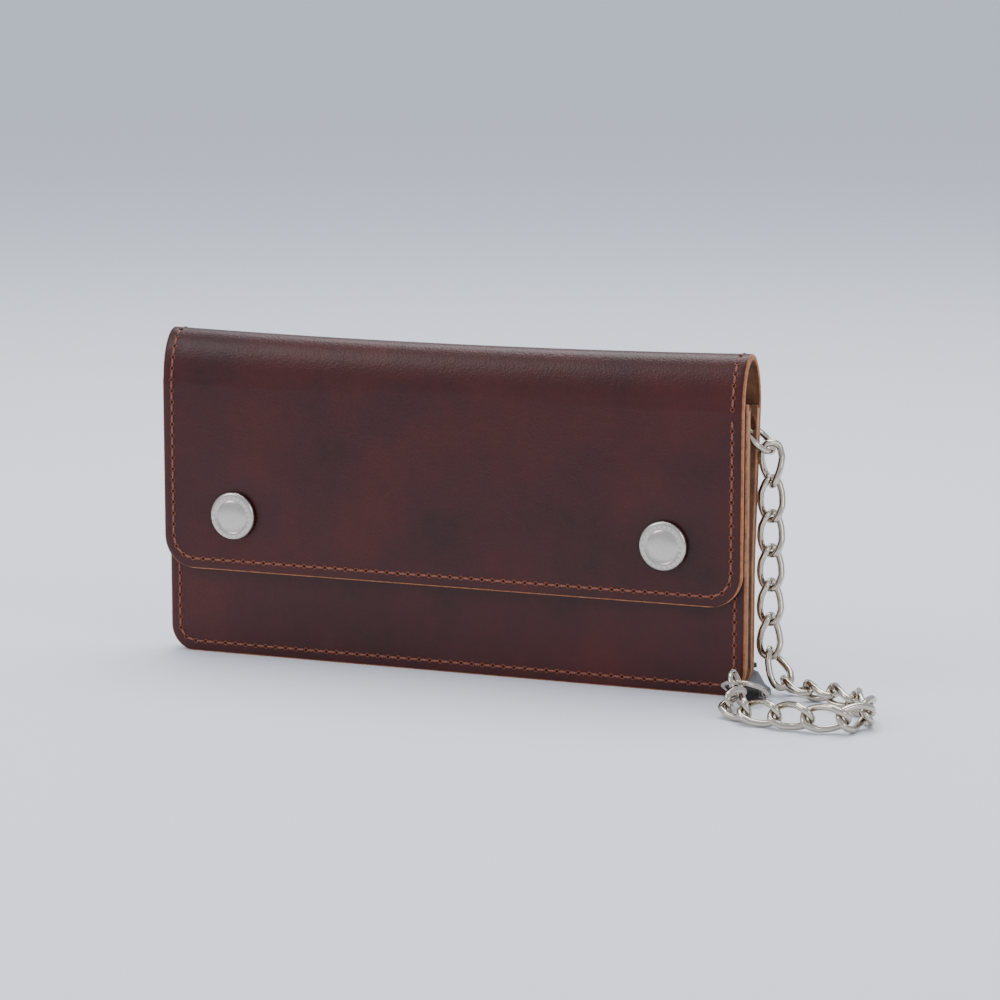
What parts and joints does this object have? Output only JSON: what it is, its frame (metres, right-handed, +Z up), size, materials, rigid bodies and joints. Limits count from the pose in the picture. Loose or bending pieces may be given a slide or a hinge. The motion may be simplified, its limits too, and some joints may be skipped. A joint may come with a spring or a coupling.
{
  "type": "chain wallet",
  "caption": "Long upright snap-flap wallet in oxblood leather with copper stitching, a curb chain from a grommet and a black belt strap.",
  "frame": {"origin": "on the ground, under the middle of the wallet's bottom edge", "axes": "+X along the wallet to the right as its flap is seen, +Y towards its back, +Z up"},
  "size_m": [0.2391, 0.1059, 0.1016],
  "materials": {
    "oxblood_leather": "smooth semi-gloss pull-up",
    "lining_leather": "matte natural",
    "black_leather": "smooth semi-gloss",
    "zip_tape": "woven",
    "nickel": "polished nickel plate"
  },
  "bodies": {
    "wallet": {"back_panel": "oxblood_leather", "back_lining": "lining_leather", "fold_strip": "oxblood_leather", "front_panel": "oxblood_leather", "front_lining": "lining_leather", "gusset_right": "lining_leather", "gusset_left": "lining_leather", "card_panel": "lining_leather", "card_pocket_1": "lining_leather", "card_pocket_2": "lining_leather", "card_pocket_3": "lining_leather", "coin_pocket_panel": "lining_leather", "coin_pocket_top": "lining_leather", "zip_tape_lower": "zip_tape", "zip_tape_upper": "zip_tape", "zip_teeth": "nickel", "zip_stops": "nickel", "snap_studs": "nickel", "snap_posts": "nickel", "grommet": "nickel", "grommet_washer": "nickel"},
    "flap": {"flap": "oxblood_leather", "flap_lining": "lining_leather", "snap_caps": "nickel", "snap_sockets": "nickel"},
    "zip_slider": {"zip_slider": "nickel"},
    "zip_pull": {"zip_pull": "nickel"},
    "anchor_ring": {"anchor_ring": "nickel"},
    "link_01": {"link_01": "nickel"},
    "link_02": {"link_02": "nickel"},
    "link_03": {"link_03": "nickel"},
    "link_04": {"link_04": "nickel"},
    "link_05": {"link_05": "nickel"},
    "link_06": {"link_06": "nickel"},
    "link_07": {"link_07": "nickel"},
    "link_08": {"link_08": "nickel"},
    "link_09": {"link_09": "nickel"},
    "link_10": {"link_10": "nickel"},
    "link_11": {"link_11": "nickel"},
    "link_12": {"link_12": "nickel"},
    "link_13": {"link_13": "nickel"},
    "link_14": {"link_14": "nickel"},
    "link_15": {"link_15": "nickel"},
    "link_16": {"link_16": "nickel"},
    "link_17": {"link_17": "nickel"},
    "link_18": {"link_18": "nickel"},
    "end_ring": {"end_ring": "nickel"},
    "strap_ring": {"strap_ring": "nickel"},
    "belt_strap": {"belt_strap": "black_leather", "loop_bend": "black_leather", "loop_stud": "nickel"},
    "belt_loop": {"belt_loop": "black_leather", "loop_cap": "nickel", "loop_socket": "nickel"}
  },
  "joints": [
    {"name": "flap_hinge", "type": "hinge", "parent": "wallet", "child": "flap", "pos_m": [0, 0.00035, 0.10381], "axis": [-1, 0, 0], "range_deg": [0, 180], "deforming": ["fold_strip"]},
    {"name": "zip_slide", "type": "slide", "parent": "wallet", "child": "zip_slider", "axis": [1, 0, 0], "range_m": [0, 0.142]},
    {"name": "pull_hinge", "type": "hinge", "parent": "zip_slider", "child": "zip_pull", "pos_m": [-0.071, 0.00168, 0.0655], "axis": [-1, 0, 0], "range_deg": [0, 6]},
    {"name": "ring_in_grommet", "type": "hinge", "parent": "wallet", "child": "anchor_ring", "pos_m": [0.091, 0.0062, 0.07975], "axis": [0, -1, 0], "range_deg": [0, 15]},
    {"name": "link_01_turn", "type": "hinge", "parent": "anchor_ring", "child": "link_01", "pos_m": [0.09938, 0.0059, 0.0726], "axis": [0, -1, 0], "range_deg": [0, 15]},
    {"name": "link_02_turn", "type": "hinge", "parent": "link_01", "child": "link_02", "pos_m": [0.09959, 0.00589, 0.0646], "axis": [-0.3827, -0.9238, 0.0123], "range_deg": [0, 8]},
    {"name": "link_03_turn", "type": "hinge", "parent": "link_02", "child": "link_03", "pos_m": [0.09965, 0.0057, 0.0543], "axis": [-0.309, -0.9511, 0], "range_deg": [0, 15]},
    {"name": "link_04_turn", "type": "hinge", "parent": "link_03", "child": "link_04", "pos_m": [0.09965, 0.0057, 0.044], "axis": [-0.2079, -0.9781, 0], "range_deg": [0, 15]},
    {"name": "link_05_turn", "type": "hinge", "parent": "link_04", "child": "link_05", "pos_m": [0.09965, 0.0057, 0.0337], "axis": [-0.1045, -0.9945, 0], "range_deg": [0, 15]},
    {"name": "link_06_turn", "type": "hinge", "parent": "link_05", "child": "link_06", "pos_m": [0.09965, 0.0057, 0.0234], "axis": [0.0174, -0.9998, 0], "range_deg": [0, 15]},
    {"name": "link_07_turn", "type": "hinge", "parent": "link_06", "child": "link_07", "pos_m": [0.09963, 0.00669, 0.01288], "axis": [0.0225, -0.9023, 0.4305], "range_deg": [0, 15]},
    {"name": "link_08_turn", "type": "hinge", "parent": "link_07", "child": "link_08", "pos_m": [0.10534, 0.0031, 0.00319], "axis": [0, -1, 0], "range_deg": [0, 15]},
    {"name": "link_09_turn", "type": "hinge", "parent": "link_08", "child": "link_09", "pos_m": [0.11537, -0.00292, 0.00361], "axis": [-0.495, -0.7409, -0.454], "range_deg": [0, 12]},
    {"name": "link_10_turn", "type": "hinge", "parent": "link_09", "child": "link_10", "pos_m": [0.12421, -0.00819, 0.00407], "axis": [-0.5122, -0.8475, -0.139], "range_deg": [0, 12]},
    {"name": "link_11_turn", "type": "hinge", "parent": "link_10", "child": "link_11", "pos_m": [0.13256, -0.01423, 0.00412], "axis": [-0.554, -0.7912, 0.2588], "range_deg": [0, 12]},
    {"name": "link_12_turn", "type": "hinge", "parent": "link_11", "child": "link_12", "pos_m": [0.1392, -0.0222, 0.00408], "axis": [-0.5628, -0.5363, 0.6289], "range_deg": [0, 12]},
    {"name": "link_13_turn", "type": "hinge", "parent": "link_12", "child": "link_13", "pos_m": [0.14162, -0.03237, 0.00401], "axis": [-0.605, -0.2221, 0.7646], "range_deg": [0, 10]},
    {"name": "link_14_turn", "type": "hinge", "parent": "link_13", "child": "link_14", "pos_m": [0.13853, -0.04055, 0.00491], "axis": [0.0901, -0.7204, 0.6877], "range_deg": [0, 5]},
    {"name": "link_15_turn", "type": "hinge", "parent": "link_14", "child": "link_15", "pos_m": [0.12838, -0.04256, 0.00475], "axis": [-0.1182, -0.5911, 0.7979], "range_deg": [0, 10]},
    {"name": "link_16_turn", "type": "hinge", "parent": "link_15", "child": "link_16", "pos_m": [0.11705, -0.041, 0.00429], "axis": [0, -1, 0], "range_deg": [0, 10]},
    {"name": "link_17_turn", "type": "hinge", "parent": "link_16", "child": "link_17", "pos_m": [0.10709, -0.0383, 0.00414], "axis": [0, -1, 0], "range_deg": [0, 8]},
    {"name": "link_18_turn", "type": "hinge", "parent": "link_17", "child": "link_18", "pos_m": [0.09938, -0.03127, 0.00416], "axis": [0, -1, 0], "range_deg": [0, 8]},
    {"name": "end_ring_turn", "type": "hinge", "parent": "link_18", "child": "end_ring", "pos_m": [0.09842, -0.01959, 0.0041], "axis": [-0.9293, -0.1397, -0.3419], "range_deg": [0, 15]},
    {"name": "strap_ring_turn", "type": "hinge", "parent": "end_ring", "child": "strap_ring", "pos_m": [0.0975, -0.0178, 0.00605], "axis": [-0.9292, -0.14, -0.3421], "range_deg": [0, 15]},
    {"name": "strap_turn", "type": "hinge", "parent": "strap_ring", "child": "belt_strap", "pos_m": [0.0978, -0.0072, 0.00225], "axis": [1, 0, 0], "range_deg": [0, 4]},
    {"name": "loop_hinge", "type": "hinge", "parent": "belt_strap", "child": "belt_loop", "pos_m": [0.04711, 0.05489, 0.0019], "axis": [-0.7071, -0.7071, 0], "range_deg": [0, 120], "deforming": ["loop_bend"]}
  ]
}
